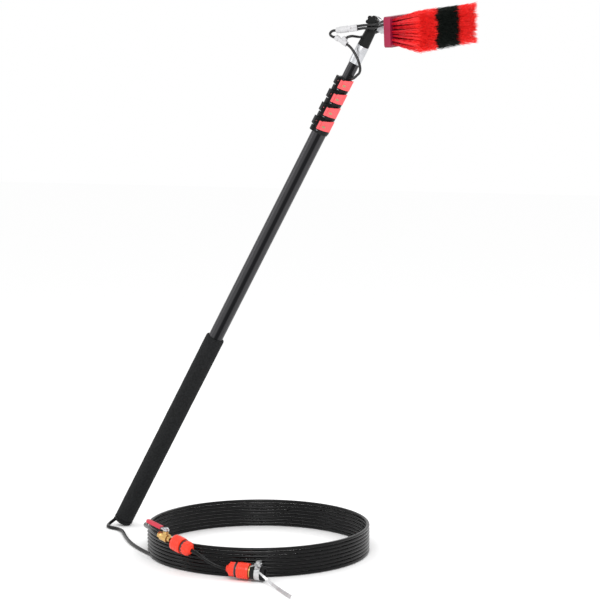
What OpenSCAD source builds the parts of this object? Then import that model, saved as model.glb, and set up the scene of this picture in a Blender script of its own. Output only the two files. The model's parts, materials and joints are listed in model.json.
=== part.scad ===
// Water-fed window cleaning pole: a telescopic pole with lever clamps, a foam grip, a tilting
// brush with jets, a coil of pole hose, a shut-off valve and a tap adapter with quick connectors.
// Millimetres. Z is up, the floor is z = 0 and the origin is where the foot touches the floor.
// The pole leans towards +X, and the brush lies along Y with its bristles towards +X.

/* [Pole] */
// Lean of the pole from the vertical, degrees
lean = 29; // [26:0.5:31]
// Outer diameter of the lowest section
tube_d = 35; // [33:0.5:42]
// Wall of every section
tube_wall = 1; // [0.8:0.1:1.2]
// Gap between one section and the next, each side
slide_gap = 0.25; // [0.2:0.05:0.4]
// From the foot to the lowest clamp
clamp_start = 1098; // [900:1:1300]
// Free height of the thinnest section above the top clamp
top_free = 40; // [36:1:50]

/* [Grip and foot] */
// Length of the foam grip
foam_len = 528; // [300:1:600]
// Thickness of the foam
foam_wall = 5.5; // [4:0.5:8]
// Thickness of the foot cap's flange
cap_flange = 12; // [10:0.5:14]
// Rounding of the foot cap's edge
cap_round = 10; // [6:0.5:11]

/* [Clamps] */
// Distance from one clamp to the next with the pole closed
clamp_pitch = 35; // [35:0.5:44]
// Gap between stacked clamps
clamp_gap = 0.4; // [0.3:0.1:1]
// Wall of a clamp collar
collar_wall = 3; // [2.5:0.25:3.5]
// Height of a clamp lever at its hinge
lever_h = 20; // [17:0.5:20]
// Thickness of a clamp lever
lever_wall = 3; // [2.5:0.25:3.5]
// How far round the collar a lever reaches, degrees
lever_wrap = 66; // [60:2:80]
// Diameter of a clamp's hinge pin
clamp_pin_d = 3; // [2:0.5:3]

/* [Neck and arm] */
// Wall of the sleeve that joins the neck to the pole
sleeve_wall = 1.5; // [1:0.25:2]
// Length of that sleeve
sleeve_len = 44; // [36:1:60]
// Length of the neck above the sleeve, up to the brush pivot
neck_len = 61; // [55:1:80]
// Diameter of the pivot bolt
bolt_d = 6; // [5:0.5:8]
// Diameter of the tilt knob
knob_d = 29; // [24:1:32]
// Width of the arm's tongue in the fork
tongue_w = 10; // [8:0.5:12]
// Drop from the brush pivot to the middle of the brush
arm_drop = 14; // [14:0.5:16]
// From the brush pivot to the back of the brush
arm_reach = 95; // [80:1:120]
// Outer diameter of the arm tube
arm_d = 22; // [18:0.5:24]

/* [Brush] */
// Length of the brush block
block_len = 360; // [280:5:420]
// Height of the brush block
block_h = 66; // [58:1:90]
// Thickness of the brush block
block_t = 15; // [12:0.5:20]
// Length of the bristles
bristle_len = 73; // [50:1:90]
// How far the bristles splay at their tips
splay = 16; // [6:1:18]
// Length of the black bristles in the middle
middle_len = 146; // [100:2:180]
// Angle that the brush is turned on its arm, degrees
brush_roll = 5; // [0:0.5:8]

/* [Hoses] */
// Outer diameter of the pole hose
hose_d = 8; // [7:0.2:8]
// Outer diameter of the jet hoses
jet_hose_d = 6; // [5:0.5:6]
// Number of turns in the coil
turns = 8; // [6:1:9]
// Height of one turn, from hose to hose
turn_pitch = 8.2; // [8.2:0.1:9]
// Radius of the coil, to the middle of the hose
coil_r = 254; // [250:1:258]

/* [Fittings] */
// Outer diameter of a connector collar
collar_d = 35; // [35:0.5:36]
// Travel of a connector collar
collar_travel = 3.5; // [2:0.5:4]
// Bore of the tap adapter's socket
tap_bore = 20; // [18:0.5:24]
// Depth of that bore
tap_depth = 24; // [18:1:26]
// Wall of the tap adapter's socket
tap_wall = 6; // [4:0.5:6]
// Width of the hose clamp band
band_w = 12; // [9:0.5:14]

/* [Hidden] */
$fn = 64;
clear = 0.2;
// each section has its own name in the record, so their number is fixed
sections = 5;
foot_r = tube_d / 2 + foam_wall;
// the foot's rounded edge is what stands on the floor
foot_rise = cap_round * (1 - cos(lean)) + (foot_r - cap_round) * sin(lean);
foot_shift = -(cap_round * sin(lean) + (foot_r - cap_round) * cos(lean));
collar_h = clamp_pitch - clamp_gap;
grip_h = 18;
stack_top = clamp_start + (sections - 1) * clamp_pitch;
sleeve_start = stack_top + top_free;
neck_start = sleeve_start + sleeve_len;
pivot_s = neck_start + neck_len;
pivot = on_axis(pivot_s);
step_d = 2 * (tube_wall + slide_gap);
thin_r = outer_r(sections);
neck_r = thin_r - 0.5;
sleeve_r = thin_r + sleeve_wall;
lug_r = 12;
lug_w = 5;
lug_gap = 0.5;
tongue_r = 11;
ear_az = -88;
// where on the collar the lever, its hinge and the screw's ear are
lever_low = 10.8;
ear_low = 15;
ear_turn = -45;
// the azimuth of the lever's middle, seen from its hinge, and how its edges rise from there
lever_mid = 35;
lever_top_rise = 19;
lever_foot_rise = 5;
screw_up = ear_low + 10;
block_back = arm_reach;
coil_c = [405, -95];
coil_h = turns * turn_pitch;
// height of the middle of a hose that lies on the floor
lie = turn_pitch / 2;
// azimuths, seen from the coil's centre, where the hose joins it and leaves it
run_az = 220;
tail_az = 200;
gland_az = 235;
gland_down = 30;
gland_p = on_axis(cap_round) - (foot_r - cap_round) * [cos(lean), 0, -sin(lean)];
gland_out = gland_p + (cap_round + 5) * heading(gland_az, gland_down);
lug_h = 2.6;
lug_low = lever_low - lug_h - 0.3;
lug_high = lever_low + lever_h + 0.3;
knob_y = tongue_w / 2 + lug_gap + lug_w + 0.5;
bristle_y = block_len / 2 - 5;
// the upper collar lies beside the coil
upper_p = [345, -349.5 - collar_d / 2, 65];
upper_az = -14;
upper_down = 13;
// the widest piece of the lower fitting clears the floor by as much as its slope needs
lower_p = [462, -368, max(collar_d / 2, tap_bore / 2 + tap_wall + 1.5) + 6.5];
lower_az = 8;
lower_down = 3.5;
collar_r = collar_d / 2;
nut_r = 15;
flutes = 12;
tap_r = tap_bore / 2 + tap_wall;
valve_t = -46;
stem_top = 22;
jets_y = [-100, 0, 100];
jet_z = 19;
grommet_s = stack_top + 8;
grommet_az = -35;
plug_top = 27;
// the bushes stand one above the other when the pole is closed
bush_h = 8;
bush_flange = 3;
bush_pitch = 10;
first_bush = plug_top + 5;

// where along the lower fitting each piece starts
nut_t = 0;
ring_t = 20;
gap_t = 22;
collar_t = gap_t + collar_travel + 0.5;
collar_len = 26;
nipple_t = collar_t + collar_len;
tap_t = nipple_t + 4;
tap_len = tap_depth + 8;
band_t = tap_t + 11;
screw_x = tap_r + 6.5;
screw_y = -17;

// the hoses' routes, point by point
foot_route = [[-33.5, -15.8, 11.3], [-35.8, -22, 8.2], [-36.3, -29, 5.8], [-34.5, -37, 4.6],
    [-30, -44.5, lie], [-23, -50, lie], [-14, -53.5, lie], [-4, -56.5, lie], [7, -60.5, lie],
    [18, -67, lie], [29, -77, lie], [42, -93, lie], [60, -117, lie], [82, -144, lie],
    [106, -171, lie], [131, -195, lie], [157, -217, lie], [183, -236.5, lie]];
tail_route = [[175, -213, 65.5], [189, -246, 70], [210, -278, 75.5], [233, -307, 80.5],
    [255, -332, 83], [272, -347, 82.3]];
link_route = [[392, -377.5, 53], [404, -378.5, 47], [415, -377.5, 41], [425.5, -375.5, 35.5],
    [437, -372.8, 30], [449, -370.2, 26]];
strip_route = [[533, -373.2, 26.8], [539, -372.6, 26.3], [546, -374.5, 23.5], [556, -379, 19],
    [569, -386, 14], [586, -398, 9.5], [608, -415, 6.5], [634, -438, 5], [661, -462, 4.7]];
// these are measured from the brush pivot
coupling_a = [-82, -30, -19];
coupling_b = [-31, -30, -13.5];
coupling_down = -atan2(coupling_b[2] - coupling_a[2], coupling_b[0] - coupling_a[0]);
split_a = [-84, -30, -34];
split_b = [-57, -30, -50];
split_down = atan2(split_a[2] - split_b[2], split_b[0] - split_a[0]);
split_port = [-58, -30, -36];
split_mid = (split_a + split_b) / 2;
port_down = atan2(split_mid[2] - split_port[2], split_port[0] - split_mid[0]);
riser_route = [[-36, -18, -119], [-28, -24, -113], [-25, -28, -104], [-27, -30, -92],
    [-33, -30, -78], [-42, -30, -64], [-50, -30, -55]];
loop_route = [[-92, -30, -33], [-98, -30, -26.5], [-93, -30, -20.5]];
jet_route_near = [[-18, -30, -8.6], [-6, -29.5, -8], [10, -31, -7.5], [26, -46, -7],
    [38, -68, -7], [48, -88, -6], [60, -98, -3]];
jet_route_mid = [[-18, -30, -15.2], [-6, -29.5, -14.8], [10, -29, -14.5], [28, -24, -8],
    [42, -14, -2], [56, -5, 2]];
jet_route_far = [[-46, -25, -32], [-40, -10, -33], [-37, 6, -33], [-28, 18, -30], [-12, 25, -24],
    [6, 32, -16], [24, 48, -6], [38, 68, 4], [48, 86, 9], [60, 96, 12]];

// ---------- geometry helpers ----------

function outer_r(i) = (tube_d - (i - 1) * step_d) / 2;
function inner_r(i) = outer_r(i) - tube_wall;
function clamp_s(i) = clamp_start + (i - 1) * clamp_pitch;
function tube_end(i) = i < sections ? clamp_s(i) + grip_h : neck_start - 22;
function tube_begin(i) = i == 1 ? 20 : first_bush + (i - 2) * bush_pitch;
function on_axis(s) = [foot_shift + s * sin(lean), 0, foot_rise + s * cos(lean)];
function heading(az, down) = [cos(az) * cos(down), sin(az) * cos(down), -sin(down)];
function upper_at(t) = upper_p + t * heading(upper_az, upper_down);
function lower_at(t) = lower_p + t * heading(lower_az, lower_down);
function coil_at(az, z) = [coil_c[0] + coil_r * cos(az), coil_c[1] + coil_r * sin(az), z];
function unit(v) = v / norm(v);
function tangents(p) = [for (i = [0:len(p) - 1]) unit(p[min(i + 1, len(p) - 1)] - p[max(i - 1, 0)])];
function carried(n, t) = unit(n - (n * t) * t);
function normals(t, n, i = 0) = i == len(t) ? []
    : let (m = carried(n, t[i])) concat([m], normals(t, m, i + 1));

// sweeps a flat outline along a route, with one ring of corners at each point; the outline's
// width may grow along it
module sweep(route, outline, side = [0, 0, 1], widen = 1) {
    t = tangents(route);
    n = normals(t, side);
    k = len(outline);
    rings = len(route);
    corners = [for (i = [0:rings - 1]) let (b = cross(t[i], n[i]))
        for (c = outline) route[i] + c[0] * n[i] + c[1] * (1 + (widen - 1) * i / (rings - 1)) * b];
    walls = [for (i = [0:rings - 2]) for (j = [0:k - 1])
        [i * k + j, (i + 1) * k + j, (i + 1) * k + (j + 1) % k, i * k + (j + 1) % k]];
    first = [for (j = [0:k - 1]) j];
    last = [for (j = [k - 1:-1:0]) (rings - 1) * k + j];
    polyhedron(corners, concat(walls, [first, last]), convexity = 6);
}

module hose(route, d, side = [0, 0, 1]) {
    sweep(route, [for (a = [22.5:45:359]) d / 2 / cos(11.25) * [cos(a), sin(a)]], side);
}

module ring(r, r_in, h) {
    difference() {
        cylinder(r = r, h = h);
        translate([0, 0, -1]) cylinder(r = r_in, h = h + 2);
    }
}

module on_pole(s) {
    translate(on_axis(s)) rotate([0, lean, 0]) children();
}

module on_head() {
    translate(pivot) children();
}

module on_brush() {
    on_head() translate([block_back, 0, -arm_drop]) rotate([brush_roll, 0, 0]) children();
}

module along(point, az, down) {
    translate(point) rotate([0, 0, az]) rotate([0, 90 + down, 0]) children();
}

module on_upper(t) {
    along(upper_at(t), upper_az, upper_down) children();
}

module on_lower(t) {
    along(lower_at(t), lower_az, lower_down) children();
}

// ---------- pole ----------

module section(i) {
    color("#2b2b2d") on_pole(tube_begin(i)) difference() {
        ring(outer_r(i), inner_r(i), tube_end(i) - tube_begin(i));
        // the thinnest section lets the hose out through its side
        if (i == sections) translate([0, 0, grommet_s - tube_begin(i)])
            rotate([0, 90, grommet_az]) cylinder(d = jet_hose_d + 3, h = 20);
    }
}

module glide_bush(i) {
    color("#1d1d1d") on_pole(tube_begin(i) - bush_flange) {
        ring(inner_r(i - 1) - clear / 2, inner_r(i) - 1.2, bush_flange);
        ring(inner_r(i), inner_r(i) - 1.2, bush_h);
    }
}

module foam_grip() {
    color("#18181a") on_pole(cap_flange) rotate_extrude() difference() {
        translate([0, 0]) square([foot_r, foam_len]);
        translate([-1, -1]) square([tube_d / 2 + 1, foam_len + 2]);
        translate([foot_r - 3, foam_len - 3]) difference() {
            square(4);
            circle(3);
        }
    }
}

module foot_cap() {
    color("#161616") on_pole(0) {
        rotate_extrude() union() {
            translate([0, cap_round]) square([foot_r, cap_flange - cap_round]);
            square([foot_r - cap_round, cap_round]);
            intersection() {
                translate([foot_r - cap_round, cap_round]) circle(cap_round);
                square([foot_r, cap_round]);
            }
        }
        translate([0, 0, cap_round]) {
            cylinder(r = inner_r(1), h = plug_top - cap_round);
            cylinder(r = tube_d / 2, h = tube_begin(1) - cap_round);
        }
    }
}

module hose_gland() {
    color("#3a3a3c") along(gland_p, gland_az, gland_down) {
        translate([0, 0, cap_round - 0.4]) cylinder(r = 5.6, h = 3.4);
        translate([0, 0, cap_round + 2.9]) cylinder(r = 4.8, h = 2.1);
    }
}

module inner_hose() {
    color("#202022") on_pole(plug_top) cylinder(d = hose_d, h = grommet_s - plug_top - 12);
}

// ---------- clamps ----------

function clamp_r(i) = outer_r(i) + collar_wall;
function pin_r(i) = clamp_r(i) + 3.6;
function ear_r(i) = outer_r(i) + 5.5;

module clamp_collar(i) {
    color("#151515") on_pole(clamp_s(i)) difference() {
        union() {
            cylinder(r = outer_r(i) + 2, h = 5);
            translate([0, 0, 4]) cylinder(r = clamp_r(i), h = 26);
            translate([0, 0, 29]) cylinder(r = outer_r(i + 1) + 3.2, h = collar_h - 29);
            rotate([0, 0, ear_az]) for (z = [lug_low, lug_high]) translate([0, 0, z]) {
                translate([outer_r(i) + 1, -3.8, 0]) cube([pin_r(i) - outer_r(i) - 1, 7.6, lug_h]);
                translate([pin_r(i), 0, 0]) cylinder(r = 3.8, h = lug_h);
            }
            rotate([0, 0, ear_az + ear_turn]) {
                translate([outer_r(i) - 1, -6, ear_low]) cube([11, 12, collar_h - 0.4 - ear_low]);
                translate([outer_r(i) - 1, -5, 0]) cube([8.5, 10, 12]);
            }
        }
        translate([0, 0, -1]) cylinder(r = outer_r(i), h = grip_h + 1);
        translate([0, 0, grip_h - 0.5]) cylinder(r = outer_r(i + 1) + clear, h = 40);
        rotate([0, 0, ear_az]) translate([pin_r(i), 0, -1]) cylinder(d = clamp_pin_d, h = 60);
        rotate([0, 0, ear_az + ear_turn]) translate([ear_r(i), -8, screw_up]) rotate([-90, 0, 0])
            cylinder(d = 3, h = 16);
        // room for the screw's head
        rotate([0, 0, ear_az + ear_turn]) translate([ear_r(i), -6, screw_up]) rotate([90, 0, 0])
            cylinder(d = 5.4, h = 6);
    }
}

// a curved plate, taller at its tip, with a thumb tab, a hinge barrel and an oval boss
module clamp_lever(i) {
    inner = clamp_r(i) + 0.6;
    tall = 2 * lever_h;
    color("#f2545b") on_pole(clamp_s(i) + lever_low) rotate([0, 0, ear_az]) difference() {
        union() {
            intersection() {
                union() {
                    translate([0, 0, -2]) rotate_extrude(angle = lever_wrap)
                        translate([inner, 0]) square([lever_wall, tall]);
                    rotate([0, 0, lever_wrap]) translate([inner, 0, 0]) rotate([0, 0, -28])
                        translate([0.3, -2, -2]) cube([lever_wall - 0.6, 6.5, tall]);
                }
                rotate([0, 0, lever_mid]) translate([inner * cos(lever_mid), 0, 0]) difference() {
                    translate([0, -inner * sin(lever_mid), 0]) rotate([lever_foot_rise, 0, 0])
                        translate([-60, -60, 0]) cube([120, 120, 60]);
                    translate([0, -inner * sin(lever_mid), lever_h]) rotate([lever_top_rise, 0, 0])
                        translate([-61, -61, 0]) cube([122, 122, 80]);
                }
            }
            translate([pin_r(i), 0, 0]) cylinder(r = 3.3, h = lever_h);
            translate([0, 0, lever_h / 2]) rotate([0, 90, 27]) translate([0, 0, inner + 0.5])
                cylinder(r = 4.2, h = lever_wall + 0.3);
        }
        translate([pin_r(i), 0, -3]) cylinder(d = clamp_pin_d + clear, h = lever_h + 6);
        // the plate keeps clear of the collar's two lugs
        translate([pin_r(i), 0, lever_h]) cylinder(r = 4.2, h = tall);
        translate([inner - 2, -4.2, lever_h]) cube([pin_r(i) - inner + 2, 8.4, tall]);
        translate([pin_r(i), 0, -8]) cylinder(r = 4.2, h = 8);
    }
}

module clamp_fasteners(i) {
    color("silver") on_pole(clamp_s(i)) {
        rotate([0, 0, ear_az]) translate([pin_r(i), 0, lug_low - 0.8]) {
            cylinder(d = clamp_pin_d, h = lug_high + lug_h - lug_low + 0.8);
            cylinder(d = clamp_pin_d + 2.4, h = 0.8);
        }
        rotate([0, 0, ear_az + ear_turn]) translate([ear_r(i), -6, screw_up]) rotate([90, 0, 0]) {
            cylinder(d = 5, h = 1.6);
            translate([0, 0, -12]) cylinder(d = 3, h = 12);
        }
    }
}

// ---------- neck, knob and arm ----------

module neck_sleeve() {
    color("#d4d5d8") on_pole(sleeve_start) ring(sleeve_r, thin_r, sleeve_len);
}

module neck_fork() {
    bore = bolt_d / 2 + clear / 2;
    lug_y = tongue_w / 2 + lug_gap;
    low = lug_r + 5;
    color("#242426") difference() {
        union() {
            on_pole(neck_start - 20) cylinder(r = thin_r, h = 20.5);
            on_pole(neck_start) cylinder(r1 = sleeve_r - 0.5, r2 = neck_r, h = neck_len - low - 1);
            on_pole(pivot_s - low - 1.5) cylinder(r = neck_r, h = 1.5);
            on_pole(pivot_s - low) for (side = [-1, 1])
                translate([0, side * (lug_y + lug_w / 2), 0]) {
                    translate([-9, -lug_w / 2, -1]) cube([18, lug_w, low + 1]);
                    translate([0, lug_w / 2, low]) rotate([90, 0, 0]) cylinder(r = lug_r, h = lug_w);
                }
        }
        on_head() translate([0, 40, 0]) rotate([90, 0, 0]) cylinder(r = bore, h = 80);
    }
}

module hose_grommet() {
    color("#101010") on_pole(grommet_s) rotate([0, 90, grommet_az]) difference() {
        translate([0, 0, thin_r - 0.8]) {
            cylinder(d = jet_hose_d + 3, h = 3);
            translate([0, 0, 1.2]) cylinder(d = jet_hose_d + 6, h = 1.8);
        }
        cylinder(d = jet_hose_d, h = thin_r + 1.2);
    }
}

module tilt_knob() {
    lobes = 6;
    color("#141414") on_head() rotate([90, 0, 0]) difference() {
        union() {
            translate([0, 0, knob_y]) cylinder(r = knob_d / 2 - 4, h = 12);
            translate([0, 0, knob_y + 2]) for (a = [0:360 / lobes:359])
                rotate([0, 0, a]) translate([knob_d / 2 - 4.5, 0, 0]) cylinder(r = 4.5, h = 9);
        }
        translate([0, 0, knob_y - 1]) cylinder(d = bolt_d, h = 10);
    }
}

module pivot_bolt() {
    color("silver") on_head() rotate([90, 0, 0])
        translate([0, 0, -knob_y]) cylinder(d = bolt_d, h = 2 * knob_y + 9);
}

module head_arm() {
    x0 = lug_r + 2;
    color("#cfd1d4") on_head() difference() {
        union() {
            rotate([90, 0, 0]) translate([0, 0, -tongue_w / 2]) {
                cylinder(r = tongue_r, h = tongue_w);
                linear_extrude(tongue_w) polygon([[2, tongue_r - 0.5], [x0 + 2, 2],
                    [x0 + 2, -arm_drop - 8], [8, -arm_drop - 8], [7, -9]]);
            }
            translate([x0, 0, -arm_drop]) rotate([0, 90, 0]) cylinder(r = arm_d / 2 + 2, h = 16);
        }
        translate([x0 + 3, 0, -arm_drop]) rotate([0, 90, 0]) cylinder(d = arm_d, h = 30);
        rotate([90, 0, 0]) translate([0, 0, -20]) cylinder(d = bolt_d + clear, h = 40);
    }
}

module arm_tube() {
    x0 = lug_r + 5;
    color("#2b2b2d") on_head() translate([x0, 0, -arm_drop]) rotate([0, 90, 0])
        ring(arm_d / 2, arm_d / 2 - 1.5, block_back - x0);
}

// ---------- brush ----------

module rounded(w, h, r) {
    square([w - 2 * r, h], center = true);
    square([w, h - 2 * r], center = true);
    for (x = [-1, 1], y = [-1, 1]) translate([x * (w / 2 - r), y * (h / 2 - r)]) circle(r);
}

module brush_block() {
    color("#b3203f") on_brush() difference() {
        union() {
            rotate([90, 0, 90]) linear_extrude(block_t) rounded(block_len, block_h, 7);
            translate([-14, 0, 0]) rotate([0, 90, 0]) cylinder(r = arm_d / 2 + 3.5, h = 15);
        }
        translate([-15, 0, 0]) rotate([0, 90, 0]) cylinder(d = arm_d, h = 15);
        for (y = jets_y) translate([-1, y, jet_z]) rotate([0, 90, 0]) cylinder(d = 4, h = 50);
        for (y = [-18, 18]) translate([-1, y, 0]) rotate([0, 90, 0]) cylinder(d = 4, h = 50);
    }
}

module bristles(y0, y1, near, far) {
    x0 = block_t;
    x1 = block_t + bristle_len;
    z0 = block_h / 2 - 6;
    z1 = z0 + splay;
    a = [for (x = [0, 1]) for (y = [0, 1]) for (z = [-1, 1])
        [x == 0 ? x0 : x1, y == 0 ? y0 - x * near : y1 + x * far, z * (x == 0 ? z0 : z1)]];
    polyhedron(a, [[0, 1, 3, 2], [4, 6, 7, 5], [0, 4, 5, 1], [2, 3, 7, 6], [0, 2, 6, 4],
        [1, 5, 7, 3]]);
}

module bristles_near() {
    color("#f3283a") on_brush() bristles(-bristle_y, -middle_len / 2, splay, splay / 4);
}

module bristles_middle() {
    color("#121212") on_brush() bristles(-middle_len / 2, middle_len / 2, -splay / 4, -splay / 4);
}

module bristles_far() {
    color("#f3283a") on_brush() bristles(middle_len / 2, bristle_y, splay / 4, splay);
}

module jet_barbs() {
    color("#1a1a1a") on_brush() for (y = jets_y) translate([0, y, jet_z]) {
        translate([-10, 0, 0]) rotate([0, 90, 0]) cylinder(d = 7.5, h = 10);
        translate([-0.5, 0, 0]) rotate([0, 90, 0]) cylinder(d = 4, h = block_t + 0.5);
    }
}

module block_screws() {
    color("silver") on_brush() for (y = [-18, 18]) translate([0, y, 0]) {
        translate([-2, 0, 0]) rotate([0, 90, 0]) cylinder(d = 7, h = 2);
        rotate([0, 90, 0]) cylinder(d = 4, h = 10);
    }
}

// ---------- jet hoses ----------

// the riser from the grommet to the splitter, and the loop from there to the coupling
module feed_hoses() {
    start = on_axis(grommet_s) - pivot;
    out = [cos(grommet_az) * cos(lean), sin(grommet_az), -cos(grommet_az) * sin(lean)];
    color("#2d2d2f") on_head() {
        hose(concat([start + (thin_r + 2.2) * out, start + (thin_r + 7) * out], riser_route, [split_b]),
            jet_hose_d, [0, 1, 0]);
        hose(concat([split_a], loop_route, [coupling_a]), jet_hose_d, [0, 1, 0]);
    }
}

module hose_splitter() {
    long = norm(split_b - split_a);
    color("#e8e9ea") on_head() {
        along(split_a, 0, split_down) {
            cylinder(r = 6.5, h = 8);
            translate([0, 0, 7]) cylinder(r = 5.5, h = long - 14);
            translate([0, 0, long - 9]) cylinder(r = 6.5, h = 9);
        }
        along(split_mid, 0, port_down) {
            cylinder(r = 5, h = norm(split_port - split_mid) - 5);
            translate([0, 0, norm(split_port - split_mid) - 8]) cylinder(r = 6, h = 8);
        }
    }
}

module hose_coupling() {
    long = norm(coupling_b - coupling_a);
    color("#e8e9ea") on_head() along(coupling_a, 0, coupling_down) {
        cylinder(r = 6.5, h = 9);
        translate([0, 0, 8]) cylinder(r = 7.5, h = 20);
        translate([0, 0, 27]) cylinder(r = 6.5, h = 9);
        for (x = [-3.3, 3.3]) translate([x, 0, 34]) cylinder(r = 4.2, h = long - 34);
    }
}

// where a hose starts, beyond the twin outlets of the coupling and beyond the splitter's port
function coupling_out(side, beyond) = coupling_b + beyond * heading(0, coupling_down)
    + side * 3.3 * [-sin(coupling_down), 0, -cos(coupling_down)];
function port_out(beyond) = split_port + beyond * heading(0, port_down);
function barb_end(y) = [block_back - 10, y * cos(brush_roll) - jet_z * sin(brush_roll),
    -arm_drop + y * sin(brush_roll) + jet_z * cos(brush_roll)];

module jet_hose(start, route, y) {
    end = barb_end(y);
    hose(concat(start, route, [end - [14, 0, 0], end]), jet_hose_d);
}

module jet_hoses() {
    color("#2d2d2f") on_head() {
        jet_hose([coupling_out(-1, 0.3), coupling_out(-1, 5)], jet_route_near, jets_y[0]);
        jet_hose([coupling_out(1, 0.3), coupling_out(1, 5)], jet_route_mid, jets_y[1]);
        jet_hose([port_out(0.3), port_out(5)], jet_route_far, jets_y[2]);
    }
}

// ---------- pole hose ----------

module pole_hose_run() {
    color("#0d0d0e") hose(concat([gland_out], foot_route, [coil_at(run_az, lie)]), hose_d);
}

module pole_hose_coil() {
    color("#0d0d0e") translate([coil_c[0], coil_c[1], 0]) rotate_extrude($fn = 180)
        translate([coil_r - hose_d / 2, 0]) square([hose_d, coil_h]);
}

module pole_hose_tail() {
    color("#0d0d0e") hose(concat([coil_at(tail_az, coil_h - lie)], tail_route,
        [upper_at(valve_t - 18)]), hose_d);
}

// ---------- shut-off valve ----------

module valve_body() {
    color("#c9a35a") on_upper(valve_t) difference() {
        union() {
            translate([0, 0, -18]) cylinder(r = 8, h = 9, $fn = 6);
            translate([0, 0, -10]) cylinder(r = 10, h = 20);
            rotate([0, -90, 0]) cylinder(r = 6, h = 14);
            translate([0, 0, 9]) cylinder(r = 6, h = 8);
        }
        sphere(r = 6.5);
        rotate([0, -90, 0]) cylinder(r = 3, h = 20);
    }
}

module valve_spindle() {
    color("silver") on_upper(valve_t) {
        difference() {
            sphere(r = 6.3);
            translate([0, 0, -10]) cylinder(r = 2.5, h = 20);
        }
        rotate([0, -90, 0]) {
            translate([0, 0, 4]) cylinder(r = 2.9, h = stem_top - 4);
            translate([0, 0, stem_top - 3.2]) cylinder(r = 5.5, h = 3.2, $fn = 6);
        }
    }
}

module valve_lever() {
    color("silver") on_upper(valve_t) rotate([0, -90, 0]) translate([0, 0, stem_top - 6.2]) difference() {
        union() {
            cylinder(r = 7, h = 3);
            translate([-52, -4.5, 0]) cube([52, 9, 3]);
        }
        translate([0, 0, -1]) cylinder(r = 2.9, h = 5);
    }
}

module lever_sleeve() {
    color("#d8303f") on_upper(valve_t) rotate([0, -90, 0]) translate([0, 0, stem_top - 7.7]) difference() {
        union() {
            translate([-54, -6, 0]) cube([40, 12, 6]);
            translate([-54, 0, 0]) cylinder(r = 6, h = 6);
        }
        translate([-52, -4.5, 1.5]) cube([52, 9, 3]);
    }
}

// ---------- quick connectors ----------

// from the hose end: collet, cone, fluted nut
module hose_nut() {
    difference() {
        union() {
            cylinder(r = 7, h = 3);
            translate([0, 0, 3]) cylinder(r1 = 9, r2 = nut_r - 0.5, h = 5);
            translate([0, 0, 8]) cylinder(r = nut_r - 0.5, h = 12);
            translate([0, 0, 8]) for (a = [0:360 / flutes:359]) rotate([0, 0, a])
                translate([nut_r - 1.2, 0, 0]) cylinder(r = 2.2, h = 12);
        }
        translate([0, 0, -1]) cylinder(d = hose_d, h = 10);
        translate([0, 0, 8]) cylinder(r = 11, h = 13);
    }
}

// the ring beside the nut, and the barrel that the collar slides on
module connector_core() {
    color("#8d8f92") difference() {
        union() {
            translate([0, 0, -6]) cylinder(r = 10.9, h = 7);
            cylinder(r = nut_r + 1, h = gap_t - ring_t);
            cylinder(r = 13, h = nipple_t - ring_t - 1);
        }
        translate([0, 0, 8]) cylinder(r = 6.2, h = 60);
        translate([0, 0, -7]) cylinder(r = 3, h = 60);
    }
}

module connector_collar() {
    color("#f4562c") {
        ring(collar_r, 13.15, collar_len);
        for (z = [4, 9, 14, 19]) translate([0, 0, z]) ring(collar_r + 0.5, 15, 2);
    }
}

module upper_flip() {
    // the upper connector is the same as the lower one, turned end for end
    on_upper(36) mirror([0, 0, 1]) children();
}

module upper_nut() {
    color("#f4562c") upper_flip() hose_nut();
}

module upper_core() {
    upper_flip() translate([0, 0, ring_t]) connector_core();
}

module upper_collar() {
    upper_flip() translate([0, 0, collar_t]) connector_collar();
}

module link_hose() {
    color("#0d0d0e") hose(concat([upper_at(36)], link_route, [lower_at(0)]), hose_d);
}

module lower_nut() {
    color("#f4562c") on_lower(nut_t) hose_nut();
}

module lower_core() {
    on_lower(ring_t) connector_core();
}

module lower_collar() {
    on_lower(collar_t) connector_collar();
}

// ---------- tap adapter ----------

module tap_nipple() {
    color("#c9a35a") on_lower(nipple_t) difference() {
        union() {
            translate([0, 0, -14]) cylinder(r = 6, h = 16);
            translate([0, 0, 0.4]) cylinder(r = 14, h = 3.6);
            cylinder(r = 8, h = 10);
        }
        translate([0, 0, -20]) cylinder(r = 4, h = 40);
    }
}

module tap_socket() {
    color("#131313") on_lower(tap_t) difference() {
        cylinder(r = tap_r, h = tap_len);
        translate([0, 0, tap_len - tap_depth]) cylinder(d = tap_bore, h = tap_depth + 1);
        translate([0, 0, -1]) cylinder(r = 8, h = tap_len);
    }
}

module hose_clamp() {
    color("#d9dadc") {
        on_lower(band_t) {
            ring(tap_r + 0.8, tap_r, band_w);
            difference() {
                translate([-screw_x - 4, -8, 1.5]) cube([screw_x + 4 - tap_r, 14, band_w - 3]);
                translate([-screw_x, -20, band_w / 2]) rotate([-90, 0, 0]) cylinder(r = 3, h = 40);
            }
        }
        sweep(strip_route, [[0.4, 1.25], [-0.4, 1.25], [-0.4, -1.25], [0.4, -1.25]],
            [0, -cos(25), sin(25)], 3.6);
    }
}

module wing_screw() {
    wing_t = 2;
    color("#c4c6c9") on_lower(band_t + band_w / 2) translate([-screw_x, screw_y, 0]) rotate([-90, 0, 0]) {
        cylinder(r = 2.9, h = 25);
        translate([0, 0, -6]) cylinder(r = 4, h = 7);
        for (a = [70, 250]) rotate([0, 0, a]) translate([0, 0, -6]) {
            translate([3, -wing_t / 2, 0]) cube([6, wing_t, 6]);
            translate([9, wing_t / 2, 3]) rotate([90, 0, 0]) cylinder(r = 4.5, h = wing_t);
        }
    }
}

// ---------- assembly ----------

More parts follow.
